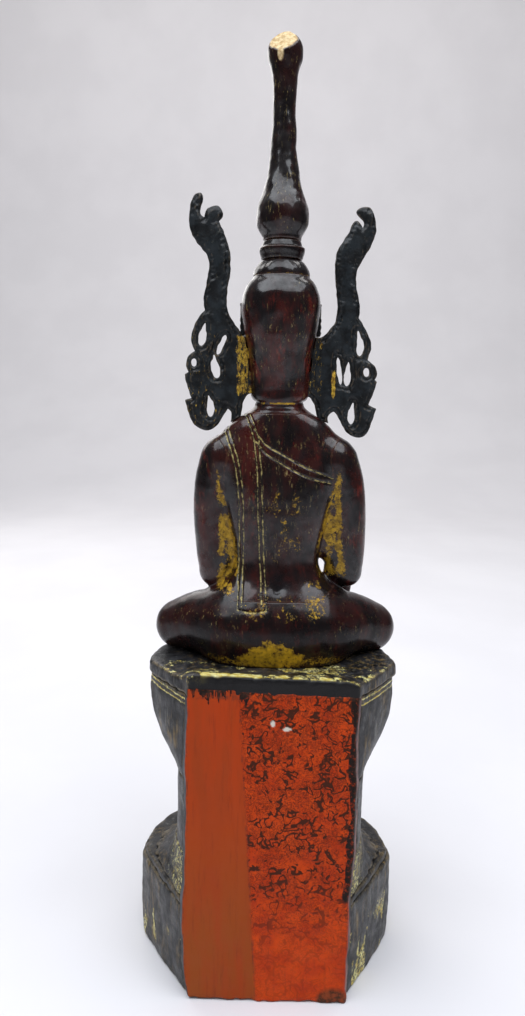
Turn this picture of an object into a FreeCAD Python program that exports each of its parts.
import FreeCAD, Part
import math
import os

# A crowned, seated Buddha carved in wood, in the earth-touching gesture, on a waisted throne.
# Millimetres. +Z is up and the figure faces -Y. The origin is at the middle of the footprint.

Vector = FreeCAD.Vector

# ---------------------------------------------------------------- driving dimensions
HEIGHT = 640.0
WIDTH = 190.0
DEPTH = 152.0
BACK_Y = DEPTH / 2

PLINTH_TOP = 67.0
LIP_TOP = 73.0
LOWER_LOTUS_TOP = 104.0
WAIST_TOP = 158.0
UPPER_LOTUS_TOP = 217.0
SEAT_TOP = 227.0

BOARD_THICKNESS = 8.0
SEAM_TOP_X = 19.0
SEAM_BOTTOM_X = 6.0

FIGURE_X = -4.0          # the figure stands a little to its right of the plinth's middle
FIGURE_Y = 12.0
NECK_Z = 398.0
CROWN_Z = 488.0
COLLAR_Z = 499.0
COLLAR_TOP = 511.0
FINIAL_Z = 511.3

WING_Y = 13.5
WING_THICKNESS = 5.0

DOWEL_GAP = 0.1          # round each glued dowel
LIFT_GAP = 0.1           # round the finial's tenon
PULL_GAP = 0.35          # round the wings' tenons and beside the head

LEFT, RIGHT = 1, -1
OVAL_POINTS = 12


# ---------------------------------------------------------------- shared shapes
def flat_oval(x, y, z, half_x, half_y):
    """A level oval outline whose seam always lies on its +X side."""
    turns = [2 * math.pi * step / OVAL_POINTS for step in range(OVAL_POINTS)]
    curve = Part.BSplineCurve()
    curve.interpolate([Vector(x + half_x * math.cos(t), y + half_y * math.sin(t), z) for t in turns], True)
    return Part.Wire([curve.toShape()])


def upright_oval(x, y, z, half_x, half_z):
    """An oval outline standing across the Y axis."""
    wire = flat_oval(0, 0, 0, half_x, half_z)
    wire.rotate(Vector(0, 0, 0), Vector(1, 0, 0), 90)
    wire.translate(Vector(x, y, z))
    return wire


def loft_up(sections):
    """A smooth solid through level ovals (x, y, z, half_x, half_y), given from the figure's axis."""
    wires = [flat_oval(FIGURE_X + x, FIGURE_Y + y, z, a, b) for x, y, z, a, b in sections]
    return Part.makeLoft(wires, True, False)


def loft_forward(sections):
    """A smooth solid through upright ovals (x, y, z, half_x, half_z), given from the figure's axis."""
    wires = [upright_oval(FIGURE_X + x, FIGURE_Y + y, z, a, b) for x, y, z, a, b in sections]
    return Part.makeLoft(wires, True, False)


def turned(profile, x, y, bottom, top):
    """A turned solid from a smooth profile of (radius, height) points."""
    curve = Part.BSplineCurve()
    curve.interpolate([Vector(r, 0, z) for r, z in profile])
    first_r, first_z = profile[0]
    last_r, last_z = profile[-1]
    profile_start, profile_end = Vector(first_r, 0, first_z), Vector(last_r, 0, last_z)
    axis_bottom, axis_top = Vector(0, 0, bottom), Vector(0, 0, top)
    edges = [
        curve.toShape(),
        Part.makeLine(profile_end, axis_top),
        Part.makeLine(axis_top, axis_bottom),
        Part.makeLine(axis_bottom, profile_start),
    ]
    face = Part.Face(Part.Wire(Part.__sortEdges__(edges)))
    solid = face.revolve(Vector(0, 0, 0), Vector(0, 0, 1), 360)
    solid.translate(Vector(x, y, 0))
    return solid


def dowel(start, direction, length, radius):
    return Part.makeCylinder(radius, length, start, direction)


def loose(start, direction, length, radius):
    """The bore for a dowel, a little wider and longer than the dowel itself."""
    unit = Vector(direction).normalize()
    return Part.makeCylinder(radius + DOWEL_GAP, length + 2 * DOWEL_GAP, start - unit * DOWEL_GAP, unit)


# ---------------------------------------------------------------- throne
TIER_NAMES = ("plinth_block", "plinth_lip", "lower_lotus", "waist_block", "upper_lotus")


def throne_outline(z, middle, back, side, side_depth, front_depth):
    """Flat back, two slanting sides and a round front; depths run forward from the back plane."""
    back_left = Vector(middle + back, BACK_Y, z)
    back_right = Vector(middle - back, BACK_Y, z)
    side_left = Vector(middle + side, BACK_Y - side_depth, z)
    side_right = Vector(middle - side, BACK_Y - side_depth, z)
    front = Vector(middle, BACK_Y - front_depth, z)
    return Part.Wire([
        Part.makeLine(side_left, back_left),
        Part.makeLine(back_left, back_right),
        Part.makeLine(back_right, side_right),
        Part.Arc(side_right, front, side_left).toShape(),
    ])


def throne_tier(sections):
    return Part.makeLoft([throne_outline(*section) for section in sections], True, False)


def throne_tiers():
    """Each tier whole, from its flat back to its round front.

    A section is (height, middle x, half width at the back, half width at the sides,
    depth to the sides, depth to the front).
    """
    return {
        "plinth_block": throne_tier([
            (0, 0, 54, 93.5, 66, 150.5),
            (30, 0, 54.5, WIDTH / 2, 67, DEPTH),
            (PLINTH_TOP, 0, 54.5, 94.5, 67, 151.5),
        ]),
        "plinth_lip": throne_tier([
            (PLINTH_TOP, 0, 54.5, 92.5, 66, 149.5),
            (LIP_TOP, 0, 54.5, 92, 66, 149),
        ]),
        "lower_lotus": throne_tier([
            (LIP_TOP, 0, 54.5, 90, 65, 146),
            (75.5, -0.5, 54.5, 81, 55, 129),
            (81, -0.5, 54.3, 73, 44, 113),
            (91, -1, 54, 68.5, 37, 103),
            (LOWER_LOTUS_TOP, -1, 54, 66.5, 34, 99.5),
        ]),
        "waist_block": throne_tier([
            (LOWER_LOTUS_TOP, -1, 54, 65, 33, 97),
            (130, -1.5, 54, 64, 33, 95),
            (WAIST_TOP, -2, 54.5, 65, 33, 97),
        ]),
        "upper_lotus": throne_tier([
            (WAIST_TOP, -2, 54.5, 67, 35, 100),
            (175, -2, 55, 78, 41, 117),
            (190, -2, 55, 84, 45, 127),
            (205, -2, 55.5, 86, 47, 131),
            (UPPER_LOTUS_TOP, -2, 55.5, 85.5, 47, 131),
        ]),
        "seat_board": throne_tier([
            (UPPER_LOTUS_TOP, -2, 56, 87, 47, 132.5),
            (SEAT_TOP, -2, 55, 85.5, 46.5, 131),
        ]),
    }


def board_slab(side):
    """The space of the back boards on one side of their slanting seam."""
    far = side * WIDTH
    corners = [(SEAM_BOTTOM_X, 0), (SEAM_TOP_X, UPPER_LOTUS_TOP), (far, UPPER_LOTUS_TOP), (far, 0)]
    points = [Vector(x, BACK_Y - BOARD_THICKNESS, z) for x, z in corners]
    face = Part.Face(Part.makePolygon(points + points[:1]))
    return face.extrude(Vector(0, BOARD_THICKNESS + 1, 0))


UP = Vector(0, 0, 1)
BACKWARD = Vector(0, 1, 0)
FORWARD = Vector(0, -1, 0)

PEG_RADIUS = 3.0
PEG_LENGTH = 14.0
PEG_REACH_IN_BOARD = 4.0
PEG_HEIGHTS = (35, 130, 195)
PEG_COLUMNS = (-32, 36)

THRONE_DOWEL_RADIUS = 7.0
THRONE_DOWEL_LENGTH = 196.0
THRONE_DOWEL_BOTTOM = 25.0
THRONE_DOWEL_Y = 22.0
THRONE_DOWEL_COLUMNS = (-34, 30)

LAP_DOWEL_RADIUS = 5.0
LAP_DOWEL_LENGTH = 30.0
LAP_DOWEL_BOTTOM = 220.5
LAP_DOWEL_Y = -6.0
LAP_DOWEL_OFFSET = 40.0

SPINE_DOWEL_RADIUS = 7.0
SPINE_DOWEL_LENGTH = 45.0
SPINE_DOWEL_BOTTOM = 246.0
SPINE_DOWEL_Y = FIGURE_Y + 3.0


def board_pegs(cutter):
    """Blind pegs between the back boards and the tiers, one row down each board."""
    start_y = BACK_Y - BOARD_THICKNESS + PEG_REACH_IN_BOARD - PEG_LENGTH
    starts = [Vector(x, start_y, z) for z in PEG_HEIGHTS for x in PEG_COLUMNS]
    return [cutter(start, BACKWARD, PEG_LENGTH, PEG_RADIUS) for start in starts]


def throne_dowels(cutter):
    """Two long dowels that hold the tiers in line."""
    starts = [Vector(x, THRONE_DOWEL_Y, THRONE_DOWEL_BOTTOM) for x in THRONE_DOWEL_COLUMNS]
    return [cutter(start, UP, THRONE_DOWEL_LENGTH, THRONE_DOWEL_RADIUS) for start in starts]


def figure_dowels(cutter):
    """Two dowels from the seat into the lap, and one from the lap into the torso."""
    pieces = []
    for side in (RIGHT, LEFT):
        start = Vector(FIGURE_X + side * LAP_DOWEL_OFFSET, LAP_DOWEL_Y, LAP_DOWEL_BOTTOM)
        pieces.append(cutter(start, UP, LAP_DOWEL_LENGTH, LAP_DOWEL_RADIUS))
    spine = Vector(FIGURE_X, SPINE_DOWEL_Y, SPINE_DOWEL_BOTTOM)
    pieces.append(cutter(spine, UP, SPINE_DOWEL_LENGTH, SPINE_DOWEL_RADIUS))
    return pieces


# ---------------------------------------------------------------- figure
LAP_TOP = 272.0
SHOULDER_JOINT_X = 34.0
ELBOW_JOINT_Y = -7.0
ELBOW_CUT_BOTTOM = 270.0
ELBOW_CUT_HEIGHT = 40.0


def space_beyond(x_side, x_from):
    """Everything further out than x_from from the figure's axis, on one side."""
    start_x = FIGURE_X + (x_from if x_side == LEFT else -x_from - WIDTH)
    return Part.makeBox(WIDTH, 2 * DEPTH, HEIGHT, Vector(start_x, -DEPTH, 0))


def lap_shape():
    """The crossed legs and hips, flat on top where the torso stands."""
    return loft_up([
        (0, -16, SEAT_TOP, 80, 43),
        (0, -15, 234, 87, 47),
        (0, -15, 243, 88, 48),
        (0, -14, 254, 81, 45),
        (0, -11, 264, 66, 39),
        (0, -7, LAP_TOP, 50, 33),
    ])


def torso_shape():
    torso = loft_up([
        (0, 3, LAP_TOP, 31, 23),
        (0, 2, 292, 28, 21),
        (0, 1, 320, 33, 22),
        (0, 0, 345, 40, 23),
        (0, 0, 364, 45, 21),
        (0, 0, 378, 43, 18),
        (0, 0, 388, 34, 16),
        (0, 0, 394, 23, 15),
        (0, 0, NECK_Z, 15.5, 14.5),
    ])
    for side in (LEFT, RIGHT):
        torso = torso.cut(space_beyond(side, SHOULDER_JOINT_X))
    return torso


def upper_arm_shape(side):
    """From the shoulder joint's flat face down to the elbow, flat in front where the forearm meets it."""
    arm = loft_up([
        (side * 47, -2, 275, 8, 8),
        (side * 48, -2, 283, 11.5, 11),
        (side * 48.5, -1, 300, 12, 12),
        (side * 48, 0, 325, 12.5, 13),
        (side * 46, 0, 350, 14, 14),
        (side * 42, 0, 366, 16, 14),
        (side * 37, 0, 378, 14, 12),
        (side * 34, 0, 386, 8, 8),
    ])
    arm = arm.common(space_beyond(side, SHOULDER_JOINT_X))
    corner = Vector(-WIDTH / 2, FIGURE_Y + ELBOW_JOINT_Y - DEPTH, ELBOW_CUT_BOTTOM)
    return arm.cut(Part.makeBox(WIDTH, DEPTH, ELBOW_CUT_HEIGHT, corner))


def right_forearm_shape():
    """From the elbow forward over the shin, with the hand hanging down its front."""
    forearm = loft_forward([
        (-48, ELBOW_JOINT_Y, 284, 10, 9.5),
        (-50, -20, 283.5, 10.5, 9.5),
        (-52, -38, 281, 9.5, 8.5),
        (-52, -56, 276, 8.5, 6.5),
        (-52, -63, 273, 9, 6),
    ])
    hand = loft_up([
        (-52, -67, 238, 7, 2.5),
        (-52, -67, 250, 9, 3.2),
        (-52, -66, 262, 9.5, 4),
        (-52, -63, 271, 8, 4),
    ])
    return forearm.fuse(hand)


def left_forearm_shape():
    """From the elbow forward and inward, with the open hand lying in the lap."""
    return loft_forward([
        (48, ELBOW_JOINT_Y, 284, 10, 9.5),
        (45, -16, 284, 10.5, 9.5),
        (36, -28, 282.5, 10, 9),
        (23, -37, 280, 10.5, 6.5),
        (9, -43, 278.5, 17, 5),
        (-4, -48, 278, 14, 4),
    ])


HEAD_SECTIONS = [
    (0, 0, NECK_Z, 14, 14),
    (0, -1, 406, 15.3, 15.5),
    (0, -4, 414, 16.8, 19),
    (0, -6, 424, 19.5, 23.5),
    (0, -6, 436, 22.5, 26.5),
    (0, -4, 450, 25, 28.5),
    (0, -2, 462, 25.6, 28),
    (0, 0, 475, 23.5, 25.5),
    (0, 1, CROWN_Z, 18.2, 18.5),
]


EAR_INNER = 16.0
EAR_THICKNESS = 14.0       # most of it lies inside the skull
EAR_HALF_DEPTH = 5.0
EAR_HALF_HEIGHT = 19.0
EAR_Y = -7.0
EAR_Z = 430.0


def long_ear(side):
    """A slim upright ear whose lobe hangs to the jaw."""
    low_x = EAR_INNER if side == LEFT else -EAR_INNER - EAR_THICKNESS
    rim = upright_oval(0, 0, 0, EAR_HALF_DEPTH, EAR_HALF_HEIGHT)
    rim.rotate(Vector(0, 0, 0), UP, 90)
    rim.translate(Vector(FIGURE_X + low_x, FIGURE_Y + EAR_Y, EAR_Z))
    return Part.Face(rim).extrude(Vector(EAR_THICKNESS, 0, 0))


def head_shape():
    """The neck, the tapering skull and the long ears."""
    ears = [long_ear(side) for side in (LEFT, RIGHT)]
    return loft_up(HEAD_SECTIONS).multiFuse(ears)


BAND_HALF_X = 28.6
BAND_HALF_Y = 32.0
BAND_THICKNESS = 2.4
BAND_Y = -3.5
BAND_BOTTOM = 450.0
BAND_TOP = 461.0
LEAF_ANGLES = (-84, -56, -28, 0, 28, 56, 84)
LEAF_HALF_WIDTH = 7.0
LEAF_HALF_SHOULDER = 5.6
LEAF_SHOULDER = 6.0        # above the band, where the leaf starts to narrow
LEAF_HEIGHT = 24.0
LEAF_DROP = 6.0            # the end leaves are this much lower than the middle one
LEAF_THICKNESS = 2.0
LEAF_INSET = 0.3


def crown_leaf(angle):
    """One upright leaf of the diadem, turned to its place round the brow."""
    turn = math.radians(angle)
    tip = BAND_TOP + LEAF_HEIGHT - LEAF_DROP * abs(math.sin(turn))
    outline = [
        (-LEAF_HALF_WIDTH, BAND_TOP),
        (LEAF_HALF_WIDTH, BAND_TOP),
        (LEAF_HALF_SHOULDER, BAND_TOP + LEAF_SHOULDER),
        (0, tip),
        (-LEAF_HALF_SHOULDER, BAND_TOP + LEAF_SHOULDER),
    ]
    points = [Vector(x, 0, z) for x, z in outline]
    leaf = Part.Face(Part.makePolygon(points + points[:1])).extrude(Vector(0, LEAF_THICKNESS, 0))
    leaf.rotate(Vector(0, 0, 0), UP, angle)
    out_x = (BAND_HALF_X - LEAF_INSET) * math.sin(turn)
    out_y = BAND_Y - (BAND_HALF_Y - LEAF_INSET) * math.cos(turn)
    leaf.translate(Vector(FIGURE_X + out_x, FIGURE_Y + out_y, 0))
    return leaf


def crown_band_shape():
    """The diadem: a band round the front half of the brow with seven upright leaves."""
    inner_x, inner_y = BAND_HALF_X - BAND_THICKNESS, BAND_HALF_Y - BAND_THICKNESS
    outer = loft_up([(0, BAND_Y, z, BAND_HALF_X, BAND_HALF_Y) for z in (BAND_BOTTOM, BAND_TOP)])
    inner = loft_up([(0, BAND_Y, z, inner_x, inner_y) for z in (BAND_BOTTOM, BAND_TOP)])
    behind_corner = Vector(-WIDTH / 2, FIGURE_Y + BAND_Y + 1, 0)
    behind = Part.makeBox(WIDTH, DEPTH, HEIGHT, behind_corner)
    leaves = [crown_leaf(angle) for angle in LEAF_ANGLES]
    return outer.cut(inner).cut(behind).multiFuse(leaves)


# ---------------------------------------------------------------- crown, finial and wings
TENON_RADIUS = 4.5
TENON_LENGTH = 24.0
TENON_ROOT = 2.0           # how far the tenon runs up into the finial


CHIP_SIZE = 40.0
CHIP_SLANT = 38.0


def crown_ring_shape():
    profile = [(18.4, CROWN_Z), (18.2, 491.5), (16.4, 495.5), (13.6, COLLAR_Z)]
    return turned(profile, FIGURE_X, FIGURE_Y, CROWN_Z, COLLAR_Z)


def crown_collar_shape():
    profile = [(13.2, COLLAR_Z), (14.6, 502), (15.1, 505.5), (14.2, 509), (12.3, COLLAR_TOP)]
    return turned(profile, FIGURE_X, FIGURE_Y, COLLAR_Z, COLLAR_TOP)


def finial_tenon(gap):
    start = Vector(FIGURE_X, FIGURE_Y, FINIAL_Z - TENON_LENGTH - gap)
    length = TENON_LENGTH + TENON_ROOT + gap
    return Part.makeCylinder(TENON_RADIUS + gap, length, start, UP)


def finial_shape():
    """A bulb, a slender neck and a swelling bud, with the bud's tip broken off at a slant."""
    profile = [
        (11.8, FINIAL_Z), (13.4, 515), (16.3, 521), (17.3, 529), (15.4, 537), (12.6, 545),
        (9.9, 557), (8.5, 571), (7.6, 587), (7.5, 602), (8.3, 614), (10.2, 622),
        (11.6, 628), (10.6, 633), (8, 637), (3, HEIGHT),
    ]
    bud = turned(profile, FIGURE_X, FIGURE_Y, FINIAL_Z, HEIGHT)
    chip = Part.makeBox(CHIP_SIZE, CHIP_SIZE, CHIP_SIZE, Vector(-CHIP_SIZE / 2, -CHIP_SIZE / 2, 0))
    chip.rotate(Vector(0, 0, 0), Vector(1, 0, 0), -CHIP_SLANT)
    chip.translate(Vector(FIGURE_X + 3, FIGURE_Y + 4, 635))
    return bud.cut(chip).fuse(finial_tenon(0))


# A wing's outline is a ring of smooth strokes that meet at corners, as (distance out from the
# figure's axis, height). It starts at the horn's tip and runs down the outer edge.
LEFT_WING_STROKES = [
    [(54, 541.5), (58, 540), (61.5, 531), (61.5, 519), (56, 509), (49.5, 501), (49, 490),
     (52, 474), (51.5, 466)],
    [(51.5, 466), (57.5, 458), (60.5, 448), (58, 439)],
    [(58, 439), (62, 436), (64, 430.5), (62.5, 425)],
    [(62.5, 425), (65, 423.5)],
    [(65, 423.5), (63.5, 416), (60.5, 407.5)],
    [(60.5, 407.5), (64.5, 406)],
    [(64.5, 406), (62.5, 397), (56, 387.5), (47, 386), (39.5, 393.5), (35.5, 401)],
    [(35.5, 401), (33.5, 399), (33.5, 391.5)],
    [(33.5, 391.5), (26.5, 393.5)],
    [(26.5, 393.5), (25.5, 402), (22.5, 409.5), (17.6, 412)],
    [(17.6, 412), (20.1, 423), (23.3, 436), (26.2, 451)],
    [(26.2, 451), (32, 458.5), (36, 467), (36, 480), (34, 498), (37, 512), (42.5, 523.5)],
    [(42.5, 523.5), (39.5, 528), (43, 533), (49, 531.5), (52, 526)],
    [(52, 526), (54.5, 530), (53, 536), (54, 541.5)],
]
RIGHT_WING_STROKES = [
    [(53, 533.5), (57, 533.5), (61.5, 526), (60.5, 512), (54.5, 501), (50, 491), (51, 479),
     (53, 470), (52.5, 462.5)],
    [(52.5, 462.5), (58, 454), (61.5, 443), (59, 434.5)],
    [(59, 434.5), (63.5, 431.5), (66, 427), (64.5, 421.5)],
    [(64.5, 421.5), (66.5, 420)],
    [(66.5, 420), (64, 412), (61, 404.5)],
    [(61, 404.5), (66.5, 402)],
    [(66.5, 402), (63.5, 392), (58, 382.8), (50, 383), (43, 391), (37.5, 399.5)],
    [(37.5, 399.5), (34.5, 397.5), (34, 391.5)],
    [(34, 391.5), (27, 393)],
    [(27, 393), (24.5, 402), (21.5, 408), (17.2, 410)],
    [(17.2, 410), (20.1, 423), (23.3, 436), (25.4, 447)],
    [(25.4, 447), (31.5, 452.5), (37, 461), (37.5, 474), (35.5, 493), (37, 506), (42.5, 515), (45.5, 521)],
    [(45.5, 521), (49, 525), (53, 520.5)],
    [(53, 520.5), (53, 525), (49, 529), (53, 533.5)],
]
# Pierced holes: (out, height, half width, half height, lean in degrees).
LEFT_WING_HOLES = [
    (53, 448, 2.8, 5.5, 10),
    (40, 443.5, 1.7, 6.8, 24),
    (58.5, 431.3, 2, 2.6, 0),
    (44, 427.5, 2.9, 6.3, -12),
    (47.2, 400.6, 2.6, 5.6, 0),
]
RIGHT_WING_HOLES = [
    (54, 443, 2.5, 5.8, 0),
    (40.4, 427, 1.6, 9.5, 8),
    (59, 426.5, 2, 2.8, 0),
    (46, 422, 2.3, 5.2, -6),
    (49.3, 396.5, 2.4, 5.6, 0),
]
WING_TENON_HEIGHTS = (422.0, 438.0)
WING_TENON_INNER = 14.0
WING_TENON_OUTER = 34.0
WING_TENON_HALF_Y = 1.5
WING_TENON_HALF_Z = 3.5


def stroke_edge(points):
    if len(points) == 2:
        return Part.makeLine(*points)
    curve = Part.BSplineCurve()
    curve.interpolate(points)
    return curve.toShape()


def wing_tenon(side, height, gap):
    """A flat tenon that slides into the side of the head."""
    inner = WING_TENON_INNER - gap
    half_y = WING_TENON_HALF_Y + gap
    half_z = WING_TENON_HALF_Z + gap
    low_x = inner if side == LEFT else -WING_TENON_OUTER
    corner = Vector(FIGURE_X + low_x, WING_Y - half_y, height - half_z)
    return Part.makeBox(WING_TENON_OUTER - inner, 2 * half_y, 2 * half_z, corner)


def wing_shape(side, strokes, holes):
    """A flat plate of the outline, pierced, with its two tenons."""
    front = WING_Y - WING_THICKNESS / 2
    edges = []
    for stroke in strokes:
        edges.append(stroke_edge([Vector(FIGURE_X + side * out, front, up) for out, up in stroke]))
    plate = Part.Face(Part.Wire(edges)).extrude(Vector(0, WING_THICKNESS, 0))
    for out, up, half_x, half_z, lean in holes:
        outline = upright_oval(0, 0, 0, half_x, half_z)
        outline.rotate(Vector(0, 0, 0), Vector(0, 1, 0), -side * lean)
        outline.translate(Vector(FIGURE_X + side * out, front - 1, up))
        plate = plate.cut(Part.Face(outline).extrude(Vector(0, WING_THICKNESS + 2, 0)))
    tenons = [wing_tenon(side, height, 0) for height in WING_TENON_HEIGHTS]
    return plate.multiFuse(tenons)


NECK_DOWEL_RADIUS = 6.0
NECK_DOWEL_LENGTH = 42.0
NECK_DOWEL_BOTTOM = 376.0

SHOULDER_DOWEL_RADIUS = 4.0
SHOULDER_DOWEL_LENGTH = 26.0
SHOULDER_DOWEL_INNER = 24.0
SHOULDER_DOWEL_Z = 358.0

ELBOW_DOWEL_RADIUS = 3.0
ELBOW_DOWEL_LENGTH = 18.0
ELBOW_DOWEL_OUT = 48.0
ELBOW_DOWEL_BACK = 2.0
ELBOW_DOWEL_Z = 284.5


def neck_dowel(cutter):
    start = Vector(FIGURE_X, FIGURE_Y, NECK_DOWEL_BOTTOM)
    return [cutter(start, UP, NECK_DOWEL_LENGTH, NECK_DOWEL_RADIUS)]


def arm_dowels(cutter):
    """One dowel through each shoulder, and one at each elbow."""
    pieces = []
    for side in (LEFT, RIGHT):
        outward = Vector(side, 0, 0)
        shoulder = Vector(FIGURE_X + side * SHOULDER_DOWEL_INNER, FIGURE_Y, SHOULDER_DOWEL_Z)
        elbow = Vector(FIGURE_X + side * ELBOW_DOWEL_OUT, FIGURE_Y + ELBOW_DOWEL_BACK, ELBOW_DOWEL_Z)
        pieces.append(cutter(shoulder, outward, SHOULDER_DOWEL_LENGTH, SHOULDER_DOWEL_RADIUS))
        pieces.append(cutter(elbow, FORWARD, ELBOW_DOWEL_LENGTH, ELBOW_DOWEL_RADIUS))
    return pieces


# ---------------------------------------------------------------- assembly
def throne_nodes():
    """The tiers, with the space behind them given to the two back boards."""
    nodes = throne_tiers()
    tiers = [nodes[name] for name in TIER_NAMES]
    for name, side in (("back_board_left", LEFT), ("back_board_right", RIGHT)):
        slab = board_slab(side)
        slices = [tier.common(slab) for tier in tiers]
        nodes[name] = slices[0].multiFuse(slices[1:])
    corner = Vector(-WIDTH / 2, BACK_Y - BOARD_THICKNESS, 0)
    behind = Part.makeBox(WIDTH, BOARD_THICKNESS + 1, UPPER_LOTUS_TOP, corner)
    for name in TIER_NAMES:
        nodes[name] = nodes[name].cut(behind)
    return nodes


def build():
    """Every node by name, each cut clear of the pieces that it meets."""
    nodes = throne_nodes()
    nodes["lap"] = lap_shape()
    nodes["torso"] = torso_shape()
    nodes["left_arm"] = upper_arm_shape(LEFT)
    nodes["right_arm"] = upper_arm_shape(RIGHT)
    nodes["left_forearm"] = left_forearm_shape()
    nodes["right_forearm"] = right_forearm_shape()
    nodes["head"] = head_shape()
    nodes["crown_band"] = crown_band_shape()
    nodes["crown_ring"] = crown_ring_shape()
    nodes["crown_collar"] = crown_collar_shape()
    nodes["finial"] = finial_shape()
    nodes["left_wing"] = wing_shape(LEFT, LEFT_WING_STROKES, LEFT_WING_HOLES)
    nodes["right_wing"] = wing_shape(RIGHT, RIGHT_WING_STROKES, RIGHT_WING_HOLES)

    for name in ("head", "crown_ring", "crown_collar"):
        nodes[name] = nodes[name].cut(finial_tenon(LIFT_GAP))
    for side in (LEFT, RIGHT):
        for height in WING_TENON_HEIGHTS:
            nodes["head"] = nodes["head"].cut(wing_tenon(side, height, PULL_GAP))

    hosts = {
        board_pegs: ["back_board_left", "back_board_right", "plinth_block", "waist_block", "upper_lotus"],
        throne_dowels: [*TIER_NAMES, "seat_board"],
        figure_dowels: ["seat_board", "upper_lotus", "lap", "torso"],
        neck_dowel: ["torso", "head"],
        arm_dowels: ["torso", "left_arm", "right_arm", "left_forearm", "right_forearm"],
    }
    for make, names in hosts.items():
        for name in names:
            nodes[name] = nodes[name].cut(make(loose))
        nodes[make.__name__] = Part.makeCompound(make(dowel))
    return nodes


def main():
    os.makedirs("parts", exist_ok=True)
    for name, shape in build().items():
        solids = shape.Solids
        box = shape.BoundBox
        volume = shape.Volume / 1000
        print(f"{name:18s} solids {len(solids)} valid {shape.isValid()} volume {volume:8.1f} cm3")
        print(f"    x {box.XMin:.1f}..{box.XMax:.1f} y {box.YMin:.1f}..{box.YMax:.1f}")
        print(f"    z {box.ZMin:.1f}..{box.ZMax:.1f}")
        kept = solids[0] if len(solids) == 1 else Part.makeCompound(solids)
        kept.exportStep("parts/" + name + ".step")


main()
